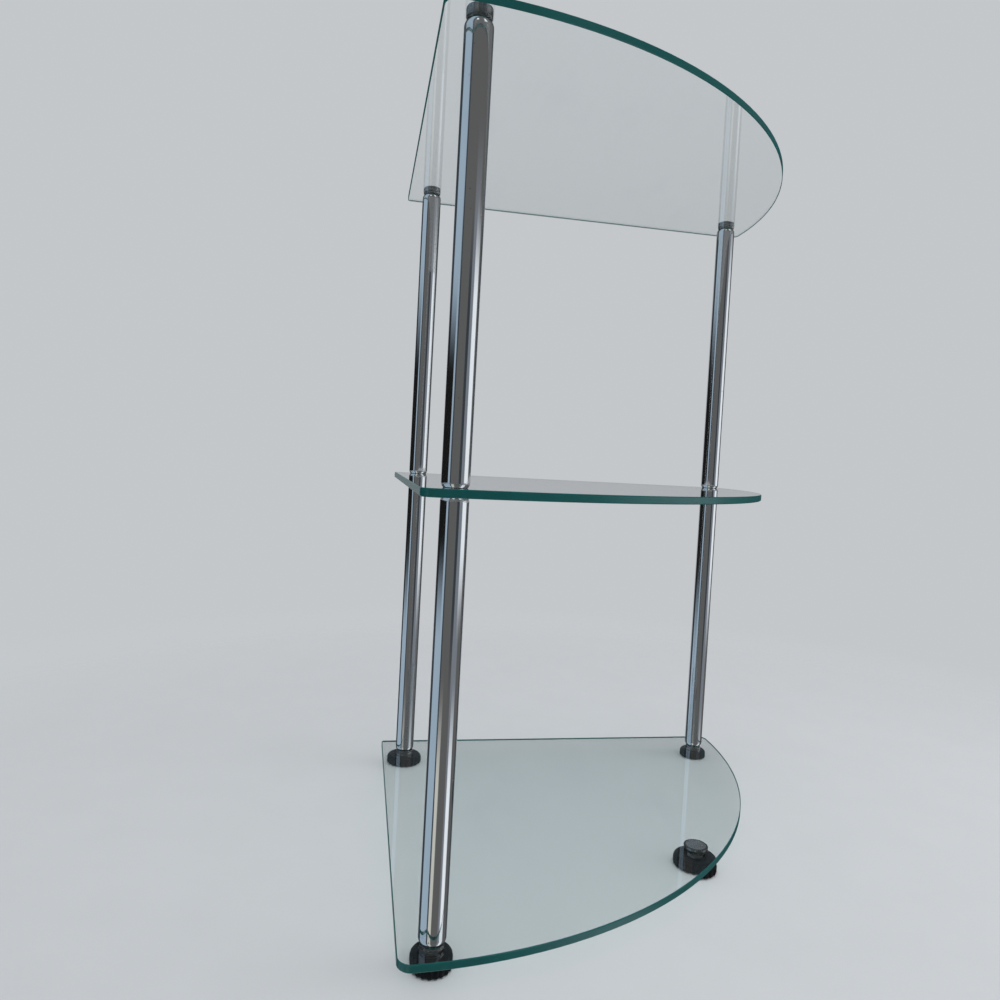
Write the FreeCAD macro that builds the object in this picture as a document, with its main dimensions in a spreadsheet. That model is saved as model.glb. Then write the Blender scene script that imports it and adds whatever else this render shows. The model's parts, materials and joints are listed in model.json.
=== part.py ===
import FreeCAD, Part
import math
import os
import Sketcher

# Glass corner shelf unit: quarter-round glass shelves clamped on chrome tube posts, standing on
# black hand-turned levelling feet. Millimetres, +Z up. The origin is on the floor, at the middle
# of the square footprint; the two straight glass edges run along +Y (back) and -X (left).

DRIVING_DIMENSIONS = {
    # glass shelves
    "shelf_radius": 400.0,
    "glass_thickness": 6.0,
    "end_corner_radius": 10.0,
    "wall_corner_radius": 3.0,
    "arris_width": 0.6,
    "post_inset": 25.0,
    "outer_foot_inset": 21.0,
    "glass_hole_diameter": 12.0,
    # posts
    "tube_diameter": 20.0,
    "tube_wall": 1.0,
    "tube_length": 306.0,
    "spun_end_length": 3.2,
    "spun_end_drop": 0.9,
    "plug_length": 14.0,
    "plug_clearance": 0.05,
    # screws and plastic bushes
    "stud_diameter": 8.0,
    "stud_chamfer": 0.8,
    "stud_reach": 18.0,
    "thread_clearance": 0.05,
    "flange_thickness": 0.4,
    "flange_diameter": 17.0,
    "spigot_length": 2.8,
    "spigot_clearance": 0.15,
    "bush_bore_diameter": 8.4,
    # caps above the glass
    "top_cap_diameter": 18.0,
    "top_cap_height": 7.0,
    "top_cap_rounding": 1.2,
    "top_cap_thread_depth": 5.0,
    "outer_cap_diameter": 21.0,
    "outer_cap_height": 2.4,
    "outer_cap_rounding": 0.6,
    "outer_cap_thread_depth": 1.6,
    "cap_foot_chamfer": 0.4,
    "cap_flute_radius": 0.6,
    "cap_flute_depth": 0.25,
    "cap_flutes": 40,
    # levelling feet
    "pad_thickness": 2.0,
    "pad_proud": 1.0,
    "pad_chamfer": 0.4,
    "pad_pin_diameter": 5.0,
    "pad_pin_length": 0.8,
    "pad_gap": 0.1,
    "pad_side_gap": 0.3,
    "knob_height": 8.5,
    "knob_bottom_chamfer": 0.3,
    "knob_hub_diameter": 20.0,
    "knob_hub_height": 0.6,
    "knob_shoulder_radius": 3.5,
    "knob_gap": 3.1,
    "knob_flute_radius": 1.6,
    "knob_flute_depth": 1.2,
    "knob_flutes": 20,
    "nut_flats": 13.0,
    "nut_clearance": 0.05,
    "clamp_nut_height": 4.0,
    "clamp_nut_room": 0.4,
    "clamp_nut_recess_diameter": 16.8,
    "foot_nut_height": 5.0,
    "stud_end_height": 3.4,
    "small_knob_diameter": 30.0,
    "small_pad_diameter": 22.0,
    "large_knob_diameter": 38.0,
    "large_pad_diameter": 30.0,
}
FULL_TURN = 360

# Sketch references: the sketch's own origin, and the points of a line, arc or circle
SKETCH_ORIGIN = (-1, 1)
START_POINT = 1
END_POINT = 2
CENTRE_POINT = 3

doc = FreeCAD.newDocument("corner_shelf")


# Sizes that carry their sheet expression

class Size:
    """A length with its value and the expression over the sheet that gives it."""

    def __init__(self, value, text):
        self.value = value
        self.text = text

    def __add__(self, other):
        return joined(self, "+", other, self.value + as_size(other).value)

    def __sub__(self, other):
        return joined(self, "-", other, self.value - as_size(other).value)

    def __mul__(self, other):
        return joined(self, "*", other, self.value * as_size(other).value)

    def __truediv__(self, other):
        return joined(self, "/", other, self.value / as_size(other).value)

    def __neg__(self):
        return Size(-self.value, f"(-1 * {self.text})")


def as_size(item):
    return item if isinstance(item, Size) else Size(float(item), str(float(item)))


def joined(left, sign, right, value):
    return Size(value, f"({left.text} {sign} {as_size(right).text})")


def square_root(size):
    return Size(math.sqrt(size.value), f"sqrt({size.text})")


def make_sheet():
    sheet = doc.addObject("Spreadsheet::Sheet", "dim")
    for row, (name, value) in enumerate(DRIVING_DIMENSIONS.items(), start=1):
        sheet.set(f"A{row}", name)
        sheet.set(f"B{row}", str(value))
        sheet.setAlias(f"B{row}", name)
    doc.recompute()


def dim(name):
    return Size(float(DRIVING_DIMENSIONS[name]), f"dim.{name}")


ZERO = as_size(0)
make_sheet()


# Sketch and feature helpers

def new_body(label, place=(ZERO, ZERO, ZERO)):
    body = doc.addObject("PartDesign::Body", label)
    body.Label = label
    for axis, size in zip("xyz", place):
        body.setExpression(f"Placement.Base.{axis}", size.text)
    return body


def origin_feature(body, role):
    return next(item for item in body.Origin.OriginFeatures if item.Role == role)


def new_sketch(body, name, role):
    sketch = body.newObject("Sketcher::SketchObject", name)
    sketch.AttachmentSupport = [(origin_feature(body, role), "")]
    sketch.MapMode = "FlatFace"
    return sketch


def bind(sketch, constraint, size):
    index = sketch.addConstraint(constraint)
    sketch.setExpression(f"Constraints[{index}]", size.text)


def pin_point(sketch, edge, end, x, y):
    """Holds one end or centre of a sketch edge at a driven place."""
    for kind, size in (("DistanceX", x), ("DistanceY", y)):
        bind(sketch, Sketcher.Constraint(kind, *SKETCH_ORIGIN, edge, end, size.value), size)


def add_circle(sketch, x, y, radius):
    centre = FreeCAD.Vector(x.value, y.value, 0)
    edge = sketch.addGeometry(Part.Circle(centre, FreeCAD.Vector(0, 0, 1), radius.value))
    pin_point(sketch, edge, CENTRE_POINT, x, y)
    bind(sketch, Sketcher.Constraint("Radius", edge, radius.value), radius)


def arc_between(start, end, radius, centre_left):
    """The short arc from start to end whose centre is on the left or right of the way along it."""
    chord = end - start
    middle = (start + end) * 0.5
    left = FreeCAD.Vector(-chord.y, chord.x, 0).normalize()
    reach = math.sqrt(max(radius ** 2 - (chord.Length / 2) ** 2, 0.0))
    centre = middle + left * (reach if centre_left else -reach)
    first, last = (start, end) if centre_left else (end, start)
    angles = [math.atan2(point.y - centre.y, point.x - centre.x) for point in (first, last)]
    circle = Part.Circle(centre, FreeCAD.Vector(0, 0, 1), radius)
    return Part.ArcOfCircle(circle, *angles)


def closed_profile(sketch, corners):
    """Draws a closed outline, anticlockwise. A corner is (x, y), or (x, y, radius) where the edge
    that leaves it is an arc: its centre is inside for a positive radius and outside for a negative."""
    points = [FreeCAD.Vector(as_size(x).value, as_size(y).value, 0) for x, y, *_ in corners]
    ends = []
    for index, corner in enumerate(corners):
        start = points[index]
        end = points[(index + 1) % len(points)]
        if len(corner) == 2:
            edge = sketch.addGeometry(Part.LineSegment(start, end))
            ends.append((edge, START_POINT, END_POINT))
            continue
        radius = corner[2]
        inside = radius.value > 0
        edge = sketch.addGeometry(arc_between(start, end, abs(radius.value), inside))
        ends.append((edge, START_POINT, END_POINT) if inside else (edge, END_POINT, START_POINT))
        size = radius if inside else -radius
        bind(sketch, Sketcher.Constraint("Radius", edge, size.value), size)
    for (edge, _, last), (following, first, _) in zip(ends, ends[1:] + ends[:1]):
        sketch.addConstraint(Sketcher.Constraint("Coincident", edge, last, following, first))
    for (edge, first, _), (x, y, *_) in zip(ends, corners):
        pin_point(sketch, edge, first, as_size(x), as_size(y))


def revolve(body, corners):
    """Turns a closed profile of (radius, height) corners about the body's own Z axis."""
    sketch = new_sketch(body, "profile", "XZ_Plane")
    closed_profile(sketch, corners)
    turned = body.newObject("PartDesign::Revolution", "turned_form")
    turned.Profile = sketch
    turned.ReferenceAxis = (sketch, ["V_Axis"])
    turned.Angle = FULL_TURN
    return turned


def pad(body, sketch, length):
    feature = body.newObject("PartDesign::Pad", "padded_form")
    feature.Profile = sketch
    feature.setExpression("Length", length.text)
    return feature


def pocket(body, sketch, name, length=None):
    """Cuts the sketch upwards, by a length or right through, and checks that it removed material."""
    doc.recompute()
    before = body.Shape.Volume
    feature = body.newObject("PartDesign::Pocket", name)
    feature.Profile = sketch
    feature.Reversed = True
    if length is None:
        feature.Type = "ThroughAll"
    else:
        feature.setExpression("Length", length.text)
    doc.recompute()
    if body.Shape.Volume >= before:
        raise RuntimeError(f"{name} of {body.Label} cut nothing")
    return feature


def raise_sketch(sketch, height):
    sketch.setExpression("AttachmentOffset.Base.z", height.text)


def cut_flutes(body, radius, kind):
    """Cuts round-bottomed grooves up the side of a turned piece, evenly spaced all round it."""
    groove = dim(f"{kind}_flute_radius")
    outline = new_sketch(body, "flute_outline", "XY_Plane")
    add_circle(outline, radius + groove - dim(f"{kind}_flute_depth"), ZERO, groove)
    flute = pocket(body, outline, "flute")
    pattern = body.newObject("PartDesign::PolarPattern", "flutes")
    pattern.Originals = [flute]
    pattern.Axis = (origin_feature(body, "Z_Axis"), [""])
    pattern.Angle = FULL_TURN
    pattern.setExpression("Occurrences", dim(f"{kind}_flutes").text)
    body.Tip = pattern


def hexagon_corners(flats):
    """The corners of a hexagon of that width across its flats, anticlockwise."""
    reach = flats / math.sqrt(3)
    half = reach / 2
    rise = flats / 2
    return [(reach, 0), (half, rise), (-half, rise), (-reach, 0), (-half, -rise), (half, -rise)]


# Places shared by the pieces

SHELF_RADIUS = dim("shelf_radius")
GLASS = dim("glass_thickness")
FLANGE = dim("flange_thickness")
TUBE_LENGTH = dim("tube_length")
STUD_RADIUS = dim("stud_diameter") / 2
THREAD_RADIUS = STUD_RADIUS + dim("thread_clearance")

CORNER_X = -SHELF_RADIUS / 2
CORNER_Y = SHELF_RADIUS / 2
NEAR = dim("post_inset")
FAR = SHELF_RADIUS - NEAR
DIAGONAL = (SHELF_RADIUS - dim("outer_foot_inset")) / math.sqrt(2)

# Post and foot axes, measured from the glass corner where the two straight edges meet
POST_AXES = {"corner": (NEAR, -NEAR), "right": (FAR, -NEAR), "front": (NEAR, -FAR)}
FOOT_AXES = dict(POST_AXES, outer=(DIAGONAL, -DIAGONAL))
LARGE_FEET = ("corner", "outer")

KNOB_BASE = dim("pad_proud")
KNOB_TOP = KNOB_BASE + dim("knob_height")
FOOT_FLANGE_BASE = KNOB_TOP + dim("knob_gap")
BOTTOM_GLASS = FOOT_FLANGE_BASE + FLANGE
LOWER_TUBE = BOTTOM_GLASS + GLASS + FLANGE
MIDDLE_GLASS = LOWER_TUBE + TUBE_LENGTH + FLANGE
UPPER_TUBE = MIDDLE_GLASS + GLASS + FLANGE
TOP_GLASS = UPPER_TUBE + TUBE_LENGTH + FLANGE
CAP_BASE = TOP_GLASS + GLASS + FLANGE


def on_axis(axis, height):
    x, y = axis
    return (CORNER_X + x, CORNER_Y + y, height)


# Glass shelves

def glass_shelf(label, base, axes):
    """A quarter-round glass plate with rounded corners, a fine arris and a hole at each axis."""
    body = new_body(label, (CORNER_X, CORNER_Y, base))
    wall_radius = dim("wall_corner_radius")
    end_radius = dim("end_corner_radius")
    inner_radius = SHELF_RADIUS - end_radius
    along = square_root(inner_radius * inner_radius - end_radius * end_radius)
    spread = SHELF_RADIUS / inner_radius
    outline = new_sketch(body, "outline", "XY_Plane")
    closed_profile(outline, [
        (0, -wall_radius),
        (0, -along, end_radius),
        (end_radius * spread, -(along * spread), SHELF_RADIUS),
        (along * spread, -(end_radius * spread), end_radius),
        (along, 0),
        (wall_radius, 0, wall_radius),
    ])
    plate = pad(body, outline, GLASS)
    doc.recompute()
    chamfer = body.newObject("PartDesign::Chamfer", "arris")
    chamfer.Base = (plate, level_edges(plate.Shape))
    chamfer.setExpression("Size", dim("arris_width").text)
    holes = new_sketch(body, "holes", "XY_Plane")
    for x, y in axes:
        add_circle(holes, x, y, dim("glass_hole_diameter") / 2)
    pocket(body, holes, "post_holes")
    return body


def level_edges(shape):
    """Names of the edges that lie flat in the upper or lower face of a plate."""
    names = []
    for number, edge in enumerate(shape.Edges, start=1):
        if edge.BoundBox.ZLength < Part.Precision.confusion():
            names.append(f"Edge{number}")
    return names


# Posts

def post_tube(label, place):
    """A chrome tube whose two ends are spun in to a slightly smaller seat."""
    body = new_body(label, place)
    outer = dim("tube_diameter") / 2
    inner = outer - dim("tube_wall")
    end = dim("spun_end_length")
    drop = dim("spun_end_drop")
    sweep = (end * end + drop * drop) / (drop * 2)
    upper = TUBE_LENGTH - end
    revolve(body, [
        (outer - drop, 0, sweep),
        (outer, end),
        (outer, upper, sweep),
        (outer - drop, TUBE_LENGTH),
        (inner - drop, TUBE_LENGTH, -sweep),
        (inner, upper),
        (inner, end, -sweep),
        (inner - drop, 0),
    ])
    return body


def tube_plug(label, place):
    """The threaded steel slug held inside a tube by its spun-in end."""
    body = new_body(label, place)
    radius = dim("tube_diameter") / 2 - dim("tube_wall") - dim("plug_clearance")
    length = dim("plug_length")
    chamfer = dim("stud_chamfer")
    revolve(body, [
        (THREAD_RADIUS, 0),
        (radius - chamfer, 0),
        (radius, chamfer),
        (radius, length - chamfer),
        (radius - chamfer, length),
        (THREAD_RADIUS, length),
    ])
    return body


def stud(label, axis, low, high):
    """A plain-shanked length of stud with chamfered ends."""
    body = new_body(label, on_axis(axis, low))
    length = high - low
    chamfer = dim("stud_chamfer")
    revolve(body, [
        (0, 0),
        (STUD_RADIUS - chamfer, 0),
        (STUD_RADIUS, chamfer),
        (STUD_RADIUS, length - chamfer),
        (STUD_RADIUS - chamfer, length),
        (0, length),
    ])
    return body


# Plastic bushes in the glass holes

def bush(label, axis, flange_base, flange_up):
    """A flanged bush; its thin flange lies on the glass and its spigot reaches into the hole."""
    body = new_body(label, on_axis(axis, flange_base))
    flange = dim("flange_diameter") / 2
    spigot = dim("glass_hole_diameter") / 2 - dim("spigot_clearance")
    bore = dim("bush_bore_diameter") / 2
    reach = dim("spigot_length")
    if flange_up:
        revolve(body, [
            (bore, -reach),
            (spigot, -reach),
            (spigot, 0),
            (flange, 0),
            (flange, FLANGE),
            (bore, FLANGE),
        ])
    else:
        revolve(body, [
            (bore, 0),
            (flange, 0),
            (flange, FLANGE),
            (spigot, FLANGE),
            (spigot, FLANGE + reach),
            (bore, FLANGE + reach),
        ])
    return body


def shelf_bushes(label, glass_base, axes):
    """All the bushes of one shelf, a pair at each hole, as one group of separate pieces."""
    group = doc.addObject("Part::Compound", label)
    group.Label = label
    pieces = []
    for name, axis in axes.items():
        pieces.append(bush(f"{label}_{name}_upper", axis, glass_base + GLASS, True))
        pieces.append(bush(f"{label}_{name}_lower", axis, glass_base - FLANGE, False))
    group.Links = pieces
    return group


# Caps above the glass

def cap_nut(label, axis, base, kind):
    """A round chrome cap nut with a rolled-over top edge and a blind thread."""
    body = new_body(label, on_axis(axis, base))
    radius = dim(f"{kind}_diameter") / 2
    height = dim(f"{kind}_height")
    rounding = dim(f"{kind}_rounding")
    depth = dim(f"{kind}_thread_depth") + dim("thread_clearance")
    chamfer = dim("cap_foot_chamfer")
    revolve(body, [
        (THREAD_RADIUS, 0),
        (radius - chamfer, 0),
        (radius, chamfer),
        (radius, height - rounding, rounding),
        (radius - rounding, height),
        (0, height),
        (0, depth),
        (THREAD_RADIUS, depth),
    ])
    return body


def post_cap(label, axis):
    """The cap nut on top of a post, with a fluted side to turn it by."""
    body = cap_nut(label, axis, CAP_BASE, "top_cap")
    cut_flutes(body, dim("top_cap_diameter") / 2, "cap")
    return body


# Levelling feet

def hex_nut(label, axis, base, height):
    """A hexagon nut with a plain bore at its thread's size."""
    body = new_body(label, on_axis(axis, base))
    outline = new_sketch(body, "flats", "XY_Plane")
    closed_profile(outline, hexagon_corners(dim("nut_flats")))
    pad(body, outline, height)
    bore = new_sketch(body, "bore", "XY_Plane")
    add_circle(bore, ZERO, ZERO, THREAD_RADIUS)
    pocket(body, bore, "thread_bore")
    return body


def foot_pad(label, axis, size):
    """A rubber glide with a short pin that the knob turns on."""
    body = new_body(label, on_axis(axis, ZERO))
    radius = dim(f"{size}_pad_diameter") / 2
    pin = dim("pad_pin_diameter") / 2
    top = dim("pad_thickness")
    chamfer = dim("pad_chamfer")
    revolve(body, [
        (0, 0),
        (radius - chamfer, 0),
        (radius, chamfer),
        (radius, top),
        (pin, top),
        (pin, top + dim("pad_pin_length")),
        (0, top + dim("pad_pin_length")),
    ])
    return body


FOOT_NUT_TOP = KNOB_TOP - dim("clamp_nut_height") + dim("knob_gap") - dim("clamp_nut_room")
FOOT_NUT_BASE = FOOT_NUT_TOP - dim("foot_nut_height")


def foot_knob(label, axis, size):
    """A fluted hand knob: a round shoulder and low hub above, recesses for its nut and pad inside."""
    body = new_body(label, on_axis(axis, ZERO))
    radius = dim(f"{size}_knob_diameter") / 2
    hub = dim("knob_hub_diameter") / 2
    chamfer = dim("knob_bottom_chamfer")
    shoulder = dim("knob_shoulder_radius")
    hub_base = KNOB_TOP - dim("knob_hub_height")
    recess = dim("clamp_nut_recess_diameter") / 2
    pad_room = dim(f"{size}_pad_diameter") / 2 + dim("pad_side_gap")
    pad_ceiling = dim("pad_thickness") + dim("pad_gap")
    pin_room = dim("pad_pin_diameter") / 2 + dim("thread_clearance")
    revolve(body, [
        (pad_room, KNOB_BASE),
        (radius - chamfer, KNOB_BASE),
        (radius, KNOB_BASE + chamfer),
        (radius, hub_base - shoulder, shoulder),
        (radius - shoulder, hub_base),
        (hub, hub_base),
        (hub, KNOB_TOP),
        (recess, KNOB_TOP),
        (recess, FOOT_NUT_TOP),
        (pin_room, FOOT_NUT_TOP),
        (pin_room, pad_ceiling),
        (pad_room, pad_ceiling),
    ])
    seat = new_sketch(body, "nut_outline", "XY_Plane")
    raise_sketch(seat, FOOT_NUT_BASE)
    closed_profile(seat, hexagon_corners(dim("nut_flats") + dim("nut_clearance") * 2))
    pocket(body, seat, "nut_seat", dim("foot_nut_height"))
    cut_flutes(body, radius, "knob")
    return body


# Assembly

def build_posts():
    pieces = []
    end = dim("spun_end_length")
    upper_plug = TUBE_LENGTH - end - dim("plug_length")
    reach = dim("stud_reach")
    for name, axis in POST_AXES.items():
        for level, base in (("lower", LOWER_TUBE), ("upper", UPPER_TUBE)):
            tube = f"{name}_{level}_tube"
            pieces.append(post_tube(tube, on_axis(axis, base)))
            pieces.append(tube_plug(f"{tube}_bottom_plug", on_axis(axis, base + end)))
            pieces.append(tube_plug(f"{tube}_top_plug", on_axis(axis, base + upper_plug)))
        pieces.append(stud(f"{name}_foot_stud", axis, dim("stud_end_height"), LOWER_TUBE + reach))
        joint = LOWER_TUBE + TUBE_LENGTH
        pieces.append(stud(f"{name}_middle_stud", axis, joint - reach, UPPER_TUBE + reach))
        top = UPPER_TUBE + TUBE_LENGTH
        cap_end = CAP_BASE + dim("top_cap_thread_depth")
        pieces.append(stud(f"{name}_top_stud", axis, top - reach, cap_end))
        pieces.append(post_cap(f"{name}_top_cap", axis))
    return pieces


def build_shelves():
    levels = {
        "bottom_shelf": (BOTTOM_GLASS, FOOT_AXES),
        "middle_shelf": (MIDDLE_GLASS, POST_AXES),
        "top_shelf": (TOP_GLASS, POST_AXES),
    }
    pieces = []
    for label, (base, axes) in levels.items():
        pieces.append(glass_shelf(f"{label}_glass", base, axes.values()))
        pieces.append(shelf_bushes(f"{label}_bushes", base, axes))
    return pieces


def build_feet():
    pieces = []
    clamp_base = FOOT_FLANGE_BASE - dim("clamp_nut_height")
    for name, axis in FOOT_AXES.items():
        size = "large" if name in LARGE_FEET else "small"
        pieces.append(hex_nut(f"{name}_clamp_nut", axis, clamp_base, dim("clamp_nut_height")))
        pieces.append(foot_knob(f"{name}_foot_knob", axis, size))
        pieces.append(hex_nut(f"{name}_foot_nut", axis, FOOT_NUT_BASE, dim("foot_nut_height")))
        pieces.append(foot_pad(f"{name}_foot_pad", axis, size))
    outer = FOOT_AXES["outer"]
    outer_cap = BOTTOM_GLASS + GLASS + FLANGE
    cap_end = outer_cap + dim("outer_cap_thread_depth")
    pieces.append(stud("outer_foot_stud", outer, dim("stud_end_height"), cap_end))
    pieces.append(cap_nut("outer_foot_cap", outer, outer_cap, "outer_cap"))
    return pieces


def check_and_write(pieces):
    doc.recompute()
    for item in doc.Objects:
        if "Invalid" in item.State or "Error" in item.State:
            raise RuntimeError(f"{item.Label} failed to build: {item.State}")
    for piece in pieces:
        if piece.Shape.isNull() or not piece.Shape.isValid():
            raise RuntimeError(f"{piece.Label} has no valid shape")
    os.makedirs("parts", exist_ok=True)
    for piece in pieces:
        piece.Shape.exportStep(f"parts/{piece.Label}.step")
    print(f"{len(pieces)} sub-parts written")


check_and_write(build_shelves() + build_posts() + build_feet())
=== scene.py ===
import json
import math

import bpy
from mathutils import Matrix, Vector

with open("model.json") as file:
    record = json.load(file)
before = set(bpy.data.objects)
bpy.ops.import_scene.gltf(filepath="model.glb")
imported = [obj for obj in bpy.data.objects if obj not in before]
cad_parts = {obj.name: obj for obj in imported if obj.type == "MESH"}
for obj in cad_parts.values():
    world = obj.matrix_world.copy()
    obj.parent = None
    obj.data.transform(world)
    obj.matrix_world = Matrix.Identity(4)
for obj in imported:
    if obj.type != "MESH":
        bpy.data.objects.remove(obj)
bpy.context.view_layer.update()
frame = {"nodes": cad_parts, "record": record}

# Camera, fitted to the photograph: place and nearest distance in metres, angles in degrees,
# lens and sensor in millimetres, and shift in widths of the picture
CAMERA_PLACE = (-0.2380, -0.6906, 0.3524)
CAMERA_HEADING = 10.645
CAMERA_ELEVATION = -2.149
CAMERA_ROLL = 3.100
CAMERA_LENS = 27.688
CAMERA_SENSOR = 36.0
CAMERA_SHIFT = (-0.0048, -0.0114)
CAMERA_NEAREST = 0.01

# Stage: the floor's radius and the distances between which it clears, in metres, and the colours
# of the floor, of the backdrop and of the light that comes from all round
FLOOR_RADIUS = 1.3
FLOOR_SIDES = 96
FLOOR_FADE = (0.42, 1.15)
FLOOR_ROUGHNESS = 0.7
FLOOR_PALE = (0.66, 0.68, 0.70, 1.0)
FLOOR_DARKER = (0.62, 0.64, 0.66, 1.0)
BACKDROP_COLOUR = (0.55, 0.572, 0.592, 1.0)
SURROUND_LIGHT = (0.42, 0.43, 0.44, 1.0)

# Lamps: name, place, target and size in metres, and strength, which is watts to the square metre over pi
LAMPS = (
    ("overhead", (0.2, -0.2, 4.2), (0.0, 0.0, 0.0), (3.2, 3.2), 2.9),
    ("side", (1.1, -0.3, 0.7), (0.0, 0.0, 0.35), (0.9, 1.1), 0.9),
)

# Light goes to and fro many times along the inside of a glass edge
LIGHT_BOUNCES = 64

# The backdrop as mirrors see it, which dims between these heights in degrees
MIRROR_BACKDROP = (0.42, 0.43, 0.45, 1.0)
MIRROR_BACKDROP_HIGH = (0.07, 0.09, 0.10, 1.0)
MIRROR_BACKDROP_DIMS = (9.0, 20.0)

# Light cards that only mirrors see, in a few plain tones: heading and height from and to, in degrees.
# Heading 0 is the front, 90 the right and -90 the left. A later card stands before an earlier one.
CARD_BLACK = (0.01, 0.01, 0.01, 1.0)
CARD_DARK = (0.04, 0.05, 0.06, 1.0)
CARD_GREY = (0.12, 0.12, 0.12, 1.0)
CARD_SLATE = (0.20, 0.22, 0.25, 1.0)
CARD_BLUE = (0.35, 0.45, 0.55, 1.0)
CARD_PALE = (0.60, 0.60, 0.55, 1.0)
CARD_WHITE = (0.90, 0.95, 1.0, 1.0)
MIRROR_CARDS = (
    # A grey surround, and dark flags that draw the sides of a tube
    (-160, 145, -90, 90, CARD_GREY),
    (-160, -120, -90, 90, CARD_DARK),
    (120, 145, -90, 90, CARD_DARK),
    # A tall blue card at the left, with a narrow flag beside it and a black one across it
    (-120, -55, -90, 90, CARD_BLUE),
    (-55, -45, -90, 90, CARD_DARK),
    (-155, -70, -10, 10, CARD_BLACK),
    # A pale card low in front, and a narrow flag
    (-45, -20, -90, -20, CARD_PALE),
    (15, 35, -15, 15, CARD_DARK),
    # White cards at the right, on slate
    (35, 80, -90, 20, CARD_SLATE),
    (60, 100, -10, 15, CARD_WHITE),
    (50, 80, -90, -20, CARD_WHITE),
    # Two small lights high up in front
    (-30, -10, 40, 60, CARD_WHITE),
    (35, 60, 35, 60, CARD_WHITE),
)
# Half the width of a card's soft border, in degrees
CARD_SOFT_SIDE = 2.5
CARD_SOFT_END = 4.0

# Float glass
GLASS_CLEAR = (0.985, 0.994, 0.993, 1.0)
GLASS_SMEARED = (0.95, 0.965, 0.966, 1.0)
# Edge colours: partly the glass's own green, partly painted shade that darkens every edge
GLASS_EDGE_GREEN_AND_SHADE = (0.003, 0.155, 0.148, 1.0)
GLASS_EDGE_DEEP_GREEN_AND_SHADE = (0.002, 0.115, 0.112, 1.0)
GLASS_EDGE_ROUGHNESS = 0.30
GLASS_EDGE_OPACITY = 0.70
GLASS_LIGHT_TINT = (0.985, 0.996, 0.995, 1.0)
GLASS_BODY = (0.08, 0.60, 0.58, 1.0)
GLASS_DENSITY = 5.0
GLASS_IOR = 1.52
SMEAR_STRETCH = (9.0, 3.0, 9.0)

# Chrome plate of the tubes
CHROME_BRIGHT = (0.83, 0.84, 0.85, 1.0)
CHROME_HAZED = (0.76, 0.77, 0.78, 1.0)
CHROME_PIT = (0.055, 0.045, 0.04, 1.0)
CHROME_ROUGHNESS = 0.035
POLISH_LINE_ROUGHNESS = 0.05
PIT_ROUGHNESS = 0.4
POLISH_STRETCH = (900.0, 900.0, 6.0)
HAZE_STRETCH = (60.0, 60.0, 14.0)

# Dull plate of the caps, in shares of a cap's box, with the flat painted paler than the side as painted
# light on the upward face. The rings' phase is in radians to its width, and the darkening rises by this
# much from its top to its bottom.
CAP_SIDE = (0.27, 0.285, 0.285, 1.0)
CAP_SIDE_STAINED = (0.17, 0.175, 0.165, 1.0)
CAP_FLAT_LIT = (0.88, 0.90, 0.91, 1.0)
CAP_FLAT_LIT_STAINED = (0.66, 0.68, 0.69, 1.0)
CAP_RING_PHASE = 150.0
CAP_DOWNWARD_DARKENING = 0.12
CAP_MIDDLE = 0.5

# Zinc plate of studs, plugs and nuts, with the thread's pitch in metres
ZINC_BRIGHT = (0.52, 0.53, 0.54, 1.0)
ZINC_DULL = (0.40, 0.41, 0.41, 1.0)
THREAD_PITCH = 0.00125

# Plastics and rubber
BUSH_PALE = (0.17, 0.185, 0.19, 1.0)
BUSH_DARK = (0.11, 0.12, 0.125, 1.0)
BUSH_IOR = 1.49
BUSH_TRANSMISSION = 0.5
KNOB_BLACK = (0.0014, 0.0021, 0.0028, 1.0)
KNOB_RUBBED = (0.0034, 0.0046, 0.0056, 1.0)
# Crest colour: partly wear, partly painted highlight on the flutes
KNOB_CREST_WEAR_AND_HIGHLIGHT = (0.009, 0.0115, 0.0135, 1.0)
KNOB_DUST = (0.050, 0.055, 0.058, 1.0)
KNOB_SPECULAR = 0.12
RUBBER_DARK = (0.022, 0.022, 0.023, 1.0)
RUBBER_DUSTY = (0.055, 0.054, 0.052, 1.0)

# Sockets of a mix node that blends colours, by number because it has several of each name
MIX_INPUTS = (0, 6, 7)
MIX_OUTPUT = 2


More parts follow.
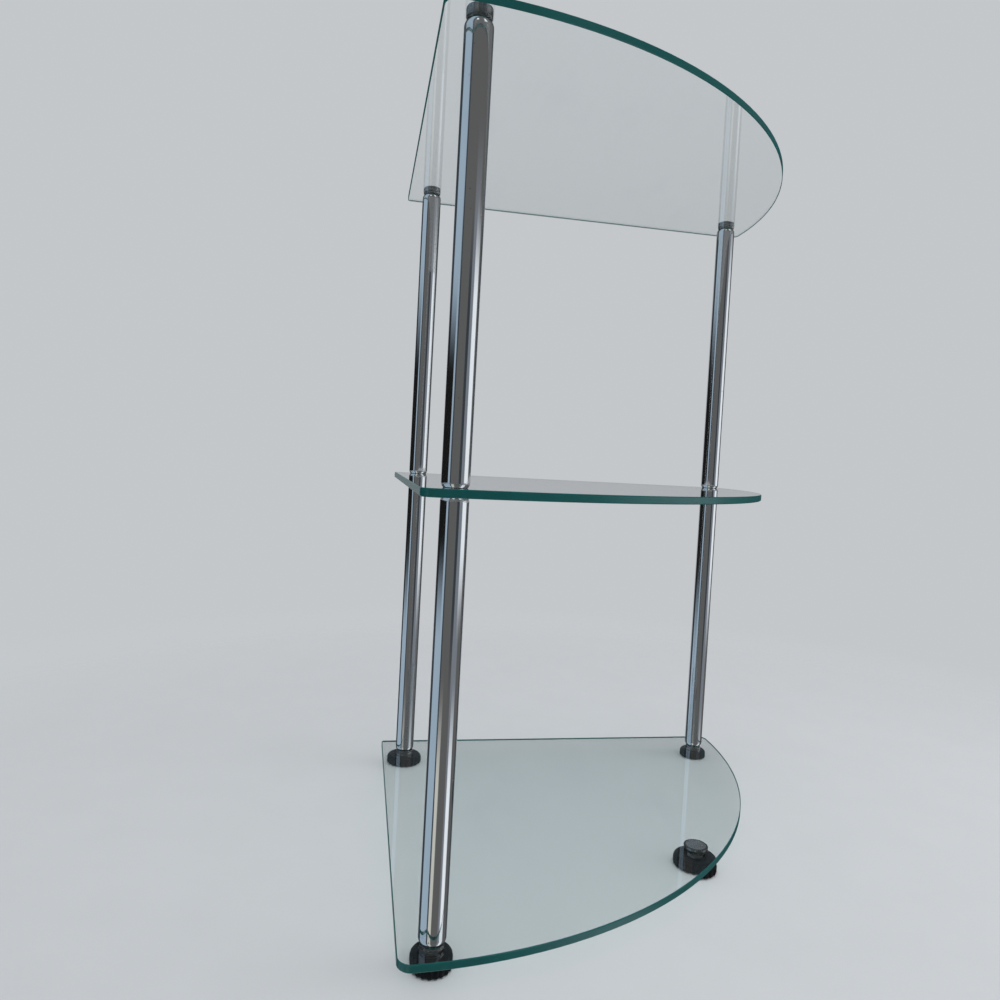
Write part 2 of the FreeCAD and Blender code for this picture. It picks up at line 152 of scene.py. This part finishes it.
class Tree:
    """A node tree with short calls for adding nodes and joining them."""

    def __init__(self, owner):
        owner.use_nodes = True
        self.tree = owner.node_tree
        self.tree.nodes.clear()

    def add(self, kind, settings=None, **inputs):
        """A node of this kind. Inputs are sockets or plain values, by their names with _ for a space."""
        made = self.tree.nodes.new(kind)
        for name, value in (settings or {}).items():
            setattr(made, name, value)
        for name, value in inputs.items():
            self.put(made.inputs[name.replace("_", " ")], value)
        return made

    def put(self, socket, value):
        if isinstance(value, bpy.types.NodeSocket):
            self.tree.links.new(value, socket)
        else:
            socket.default_value = value

    def maths(self, operation, *values):
        made = self.add("ShaderNodeMath", {"operation": operation})
        for socket, value in zip(made.inputs, values):
            self.put(socket, value)
        return made.outputs["Value"]

    def ramp(self, value, low, high, start=0.0, end=1.0):
        """A smooth step from start to end as value goes from low to high."""
        made = self.add("ShaderNodeMapRange", {"interpolation_type": "SMOOTHSTEP"},
                        Value=value, From_Min=low, From_Max=high, To_Min=start, To_Max=end)
        return made.outputs["Result"]

    def over_zero(self, count):
        """1 where a whole number is over 0, and 0 elsewhere."""
        return self.ramp(count, low=0.0, high=1.0)

    def blend(self, share, first, second):
        """A colour between two, by share."""
        made = self.add("ShaderNodeMix", {"data_type": "RGBA"})
        for index, value in zip(MIX_INPUTS, (share, first, second)):
            self.put(made.inputs[index], value)
        return made.outputs[MIX_OUTPUT]

    def mix_shaders(self, share, first, second):
        made = self.add("ShaderNodeMixShader")
        for socket, value in zip(made.inputs, (share, first, second)):
            self.put(socket, value)
        return made.outputs["Shader"]

    def noise(self, place, scale, detail=2.0, roughness=0.5):
        made = self.add("ShaderNodeTexNoise", Vector=place, Scale=scale, Detail=detail, Roughness=roughness)
        return made.outputs["Fac"]

    def place(self, kind="Object"):
        return self.add("ShaderNodeTexCoord").outputs[kind]

    def stretched(self, place, scale):
        return self.add("ShaderNodeMapping", Vector=place, Scale=scale).outputs["Vector"]

    def split(self, vector):
        return self.add("ShaderNodeSeparateXYZ", Vector=vector).outputs

    def bump(self, height, strength, distance):
        made = self.add("ShaderNodeBump", Height=height, Strength=strength, Distance=distance)
        return made.outputs["Normal"]

    def finish(self, surface, volume=None):
        made = self.add("ShaderNodeOutputMaterial", Surface=surface)
        if volume is not None:
            self.put(made.inputs["Volume"], volume)


def new_material(name):
    made = bpy.data.materials.new(name)
    return made, Tree(made)


def clear_to_light(tree, surface, tint):
    """The surface, with light let straight through to what is under it."""
    ray = tree.add("ShaderNodeLightPath").outputs
    light_ray = tree.maths("MAXIMUM", ray["Is Shadow Ray"], ray["Is Diffuse Ray"])
    through = tree.add("ShaderNodeBsdfTransparent", Color=tint).outputs["BSDF"]
    return tree.mix_shaders(light_ray, surface, through)


def glass_material():
    """Float glass: clear through its faces with faint wiped smears, and deep teal at its edges, partly the
    glass's own green and partly painted shade.
    """
    made, tree = new_material("float_glass")
    place = tree.place()
    smears = tree.noise(tree.stretched(place, SMEAR_STRETCH), scale=2.6, detail=5.0, roughness=0.62)
    film = tree.ramp(smears, low=0.52, high=0.74)
    normal = tree.split(tree.add("ShaderNodeNewGeometry").outputs["Normal"])
    edge = tree.ramp(tree.maths("ABSOLUTE", normal["Z"]), low=0.72, high=0.95, start=1.0, end=0.0)
    face = tree.blend(film, GLASS_CLEAR, GLASS_SMEARED)
    # The edges' deep teal is partly the glass's own green and partly painted shade
    rim_green_and_shade = tree.blend(tree.noise(place, scale=45.0), GLASS_EDGE_GREEN_AND_SHADE, GLASS_EDGE_DEEP_GREEN_AND_SHADE)
    body = tree.add(
        "ShaderNodeBsdfPrincipled",
        Base_Color=tree.blend(edge, face, rim_green_and_shade),
        Roughness=tree.maths("MULTIPLY", edge, GLASS_EDGE_ROUGHNESS),
        IOR=GLASS_IOR,
        Transmission_Weight=tree.maths("MULTIPLY_ADD", edge, -GLASS_EDGE_OPACITY, 1.0),
    )
    inside = tree.add("ShaderNodeVolumeAbsorption", Color=GLASS_BODY, Density=GLASS_DENSITY)
    surface = clear_to_light(tree, body.outputs["BSDF"], GLASS_LIGHT_TINT)
    tree.finish(surface, inside.outputs["Volume"])
    return made


def chrome_material():
    """Bright plated tube with soft haze, long polishing lines and small dark pits."""
    made, tree = new_material("bright_chrome")
    place = tree.place()
    lines = tree.noise(tree.stretched(place, POLISH_STRETCH), scale=1.0, detail=3.0, roughness=0.6)
    haze = tree.noise(tree.stretched(place, HAZE_STRETCH), scale=1.0, detail=4.0, roughness=0.6)
    cells = tree.add("ShaderNodeTexVoronoi", Vector=place, Scale=150.0, Randomness=1.0)
    pits_here = tree.ramp(tree.noise(place, scale=34.0, detail=3.0, roughness=0.6), low=0.52, high=0.66)
    speck = tree.ramp(cells.outputs["Distance"], low=0.05, high=0.11, start=1.0, end=0.0)
    pits = tree.maths("MULTIPLY", speck, pits_here)
    plate = tree.blend(haze, CHROME_BRIGHT, CHROME_HAZED)
    polish = tree.maths("MULTIPLY_ADD", lines, POLISH_LINE_ROUGHNESS, CHROME_ROUGHNESS)
    worn = tree.ramp(haze, low=0.45, high=0.75, start=0.0, end=0.06)
    rough = tree.maths("ADD", polish, worn)
    body = tree.add(
        "ShaderNodeBsdfPrincipled",
        Base_Color=tree.blend(pits, plate, CHROME_PIT),
        Metallic=1.0,
        Roughness=tree.maths("MULTIPLY_ADD", pits, PIT_ROUGHNESS, rough),
        Normal=tree.bump(tree.maths("SUBTRACT", lines, pits), strength=0.06, distance=0.0004),
    )
    tree.finish(body.outputs["BSDF"])
    return made


def cap_material():
    """Dull plated cap: turned rings on the flat, which is painted paler than the side as painted light,
    random stains, and darker towards its bottom.
    """
    made, tree = new_material("dull_chrome_cap")
    box = tree.split(tree.place("Generated"))
    across = tree.maths("SUBTRACT", box["X"], CAP_MIDDLE)
    along = tree.maths("SUBTRACT", box["Y"], CAP_MIDDLE)
    squares = (tree.maths("MULTIPLY", across, across), tree.maths("MULTIPLY", along, along))
    reach = tree.maths("SQRT", tree.maths("ADD", *squares))
    rings = tree.maths("SINE", tree.maths("MULTIPLY", reach, CAP_RING_PHASE))
    on_flat = tree.ramp(reach, low=0.40, high=0.44, start=1.0, end=0.0)
    stain = tree.noise(tree.place(), scale=240.0, detail=4.0, roughness=0.65)
    # The stain value rises towards the bottom, so the cap is darker lower down
    raised = tree.maths("ADD", stain, CAP_DOWNWARD_DARKENING * CAP_MIDDLE)
    stain = tree.maths("MULTIPLY_ADD", box["Z"], -CAP_DOWNWARD_DARKENING, raised)
    side = tree.blend(tree.ramp(stain, low=0.35, high=0.7), CAP_SIDE, CAP_SIDE_STAINED)
    # The flat is painted paler than the side: painted light on the upward face
    flat = tree.blend(stain, CAP_FLAT_LIT, CAP_FLAT_LIT_STAINED)
    body = tree.add(
        "ShaderNodeBsdfPrincipled",
        Base_Color=tree.blend(on_flat, side, flat),
        Metallic=1.0,
        Roughness=tree.ramp(stain, low=0.3, high=0.75, start=0.24, end=0.42),
        Normal=tree.bump(tree.maths("MULTIPLY", rings, on_flat), strength=0.05, distance=0.0002),
    )
    tree.finish(body.outputs["BSDF"])
    return made


def zinc_material():
    """Plated steel of the studs, plugs and nuts, with a cut-thread grain."""
    made, tree = new_material("zinc_plate")
    place = tree.place()
    phase = tree.maths("MULTIPLY", tree.split(place)["Z"], 2.0 * math.pi / THREAD_PITCH)
    thread = tree.maths("SINE", phase)
    bloom = tree.noise(place, scale=300.0, detail=4.0, roughness=0.6)
    body = tree.add(
        "ShaderNodeBsdfPrincipled",
        Base_Color=tree.blend(bloom, ZINC_BRIGHT, ZINC_DULL),
        Metallic=1.0,
        Roughness=tree.ramp(bloom, low=0.3, high=0.7, start=0.28, end=0.4),
        Normal=tree.bump(thread, strength=0.5, distance=0.0003),
    )
    tree.finish(body.outputs["BSDF"])
    return made


def grey_plastic_material():
    """Smoke grey moulded bush, a little cloudy."""
    made, tree = new_material("grey_plastic_bush")
    cloud = tree.noise(tree.place(), scale=420.0, detail=3.0, roughness=0.6)
    body = tree.add(
        "ShaderNodeBsdfPrincipled",
        Base_Color=tree.blend(cloud, BUSH_PALE, BUSH_DARK),
        Roughness=tree.ramp(cloud, low=0.3, high=0.7, start=0.22, end=0.36),
        IOR=BUSH_IOR,
        Transmission_Weight=BUSH_TRANSMISSION,
    )
    tree.finish(body.outputs["BSDF"])
    return made


def black_plastic_material():
    """Satin moulded plastic with a fine grain, dull dust and rubbed patches, and paler crests that are
    partly wear and partly painted highlight, with painted shade left in the flute valleys.
    """
    made, tree = new_material("black_moulded_plastic")
    place = tree.place()
    grain = tree.noise(place, scale=2600.0)
    rub = tree.noise(place, scale=130.0, detail=5.0, roughness=0.65)
    shape = tree.add("ShaderNodeNewGeometry").outputs
    up = tree.ramp(tree.split(shape["Normal"])["Z"], low=0.3, high=1.0)
    # Crests painted paler, partly as wear and partly as painted highlight, leaving the valleys darker as
    # painted shade
    crest_wear_and_highlight = tree.ramp(shape["Pointiness"], low=0.51, high=0.58)
    dust = tree.maths("MULTIPLY", up, tree.ramp(rub, low=0.45, high=0.72, start=0.0, end=0.14))
    dark = tree.blend(crest_wear_and_highlight, tree.blend(rub, KNOB_BLACK, KNOB_RUBBED), KNOB_CREST_WEAR_AND_HIGHLIGHT)
    body = tree.add(
        "ShaderNodeBsdfPrincipled",
        Base_Color=tree.blend(dust, dark, KNOB_DUST),
        Roughness=tree.ramp(rub, low=0.3, high=0.72, start=0.36, end=0.54),
        Specular_IOR_Level=KNOB_SPECULAR,
        Normal=tree.bump(grain, strength=0.10, distance=0.0002),
    )
    tree.finish(body.outputs["BSDF"])
    return made


def rubber_material():
    """Matt rubber glide, grey with floor dust."""
    made, tree = new_material("rubber_glide")
    dirt = tree.noise(tree.place(), scale=380.0, detail=4.0, roughness=0.6)
    body = tree.add(
        "ShaderNodeBsdfPrincipled",
        Base_Color=tree.blend(dirt, RUBBER_DARK, RUBBER_DUSTY),
        Roughness=tree.ramp(dirt, low=0.3, high=0.7, start=0.72, end=0.9),
        Normal=tree.bump(dirt, strength=0.2, distance=0.0002),
    )
    tree.finish(body.outputs["BSDF"])
    return made


def dress_nodes():
    """Each CAD node takes the finish that its record slot names."""
    finishes = {
        "glass": glass_material(),
        "chrome": chrome_material(),
        "cap_chrome": cap_material(),
        "zinc_steel": zinc_material(),
        "grey_plastic": grey_plastic_material(),
        "black_plastic": black_plastic_material(),
        "rubber": rubber_material(),
    }
    for part in frame["record"]["subparts"]:
        node = frame["nodes"][part["node"]]
        for slot in node.material_slots:
            slot.material = finishes[part["material_slot"]]


def floor_material():
    """Pale floor that keeps shadows near the object, and clears further out and in mirrors."""
    made, tree = new_material("pale_floor")
    place = tree.place()
    tone = tree.blend(tree.noise(place, scale=14.0, detail=4.0, roughness=0.6), FLOOR_PALE, FLOOR_DARKER)
    near = tree.add("ShaderNodeBsdfPrincipled", Base_Color=tone, Roughness=FLOOR_ROUGHNESS).outputs["BSDF"]
    far = tree.add("ShaderNodeBsdfTransparent").outputs["BSDF"]
    reach = tree.add("ShaderNodeVectorMath", {"operation": "LENGTH"}, Vector=place).outputs["Value"]
    mirrored = tree.over_zero(tree.add("ShaderNodeLightPath").outputs["Glossy Depth"])
    clear = tree.maths("MAXIMUM", tree.ramp(reach, *FLOOR_FADE), mirrored)
    tree.finish(tree.mix_shaders(clear, near, far))
    return made


def make_floor():
    bpy.ops.mesh.primitive_circle_add(vertices=FLOOR_SIDES, radius=FLOOR_RADIUS, fill_type="NGON")
    floor = bpy.context.object
    floor.name = "floor"
    floor.data.materials.append(floor_material())


def between(tree, value, low, high, soft):
    """1 between low and high, and 0 outside, with soft ends."""
    return tree.maths("MULTIPLY", tree.ramp(value, low - soft, low + soft),
                      tree.ramp(value, high - soft, high + soft, start=1.0, end=0.0))


def make_surround():
    """What is round the stage. The eye sees the backdrop, also through glass and in glass faces.

    Other mirrors see the light cards before it, and matt surfaces get an even pale light.
    """
    world = bpy.data.worlds.new("studio")
    bpy.context.scene.world = world
    tree = Tree(world)
    way = tree.split(tree.place("Generated"))
    backward = tree.maths("MULTIPLY", way["Y"], -1.0)
    heading = tree.maths("DEGREES", tree.maths("ARCTAN2", way["X"], backward))
    height = tree.maths("DEGREES", tree.maths("ARCSINE", way["Z"]))
    plain = tree.blend(tree.ramp(height, *MIRROR_BACKDROP_DIMS), MIRROR_BACKDROP, MIRROR_BACKDROP_HIGH)
    seen = plain
    for left, right, bottom, top, tone in MIRROR_CARDS:
        inside = tree.maths("MULTIPLY", between(tree, heading, left, right, CARD_SOFT_SIDE),
                            between(tree, height, bottom, top, CARD_SOFT_END))
        seen = tree.blend(inside, seen, tone)
    ray = tree.add("ShaderNodeLightPath").outputs
    in_glass_face = tree.maths("SUBTRACT", ray["Is Singular Ray"], ray["Is Transmission Ray"])
    seen = tree.blend(tree.over_zero(in_glass_face), seen, plain)
    colour = tree.blend(tree.over_zero(ray["Glossy Depth"]), BACKDROP_COLOUR, seen)
    colour = tree.blend(tree.over_zero(ray["Diffuse Depth"]), colour, SURROUND_LIGHT)
    light = tree.add("ShaderNodeBackground", Color=colour, Strength=1.0)
    tree.add("ShaderNodeOutputWorld", Surface=light.outputs["Background"])


def add_lamp(name, place, target, size, strength):
    """A soft rectangular lamp that lights the object and that no mirror or glass shows."""
    data = bpy.data.lights.new(name, "AREA")
    data.shape = "RECTANGLE"
    data.size, data.size_y = size
    data.energy = strength * math.pi * size[0] * size[1]
    lamp = bpy.data.objects.new(name, data)
    lamp.location = place
    lamp.rotation_mode = "QUATERNION"
    lamp.rotation_quaternion = (Vector(target) - Vector(place)).to_track_quat("-Z", "Y")
    lamp.visible_camera = False
    lamp.visible_glossy = False
    lamp.visible_transmission = False
    bpy.context.scene.collection.objects.link(lamp)


def make_lamps():
    for lamp in LAMPS:
        add_lamp(*lamp)


def make_camera():
    heading, tilt, roll = map(math.radians, (CAMERA_HEADING, CAMERA_ELEVATION, CAMERA_ROLL))
    ahead = Vector((math.sin(heading) * math.cos(tilt), math.cos(heading) * math.cos(tilt), math.sin(tilt)))
    level = ahead.cross(Vector((0.0, 0.0, 1.0))).normalized()
    above = level.cross(ahead)
    right = level * math.cos(roll) + above * math.sin(roll)
    up = above * math.cos(roll) - level * math.sin(roll)
    data = bpy.data.cameras.new("camera")
    data.sensor_width = CAMERA_SENSOR
    data.lens = CAMERA_LENS
    data.shift_x, data.shift_y = CAMERA_SHIFT
    data.clip_start = CAMERA_NEAREST
    camera = bpy.data.objects.new("camera", data)
    turn = Matrix((right, up, -ahead)).transposed().to_4x4()
    camera.matrix_world = Matrix.Translation(CAMERA_PLACE) @ turn
    bpy.context.scene.collection.objects.link(camera)
    bpy.context.scene.camera = camera


dress_nodes()
make_floor()
make_surround()
make_lamps()
make_camera()
scene = bpy.context.scene
scene.view_settings.view_transform = "Standard"
scene.cycles.max_bounces = LIGHT_BOUNCES
scene.cycles.glossy_bounces = LIGHT_BOUNCES
scene.cycles.transmission_bounces = LIGHT_BOUNCES
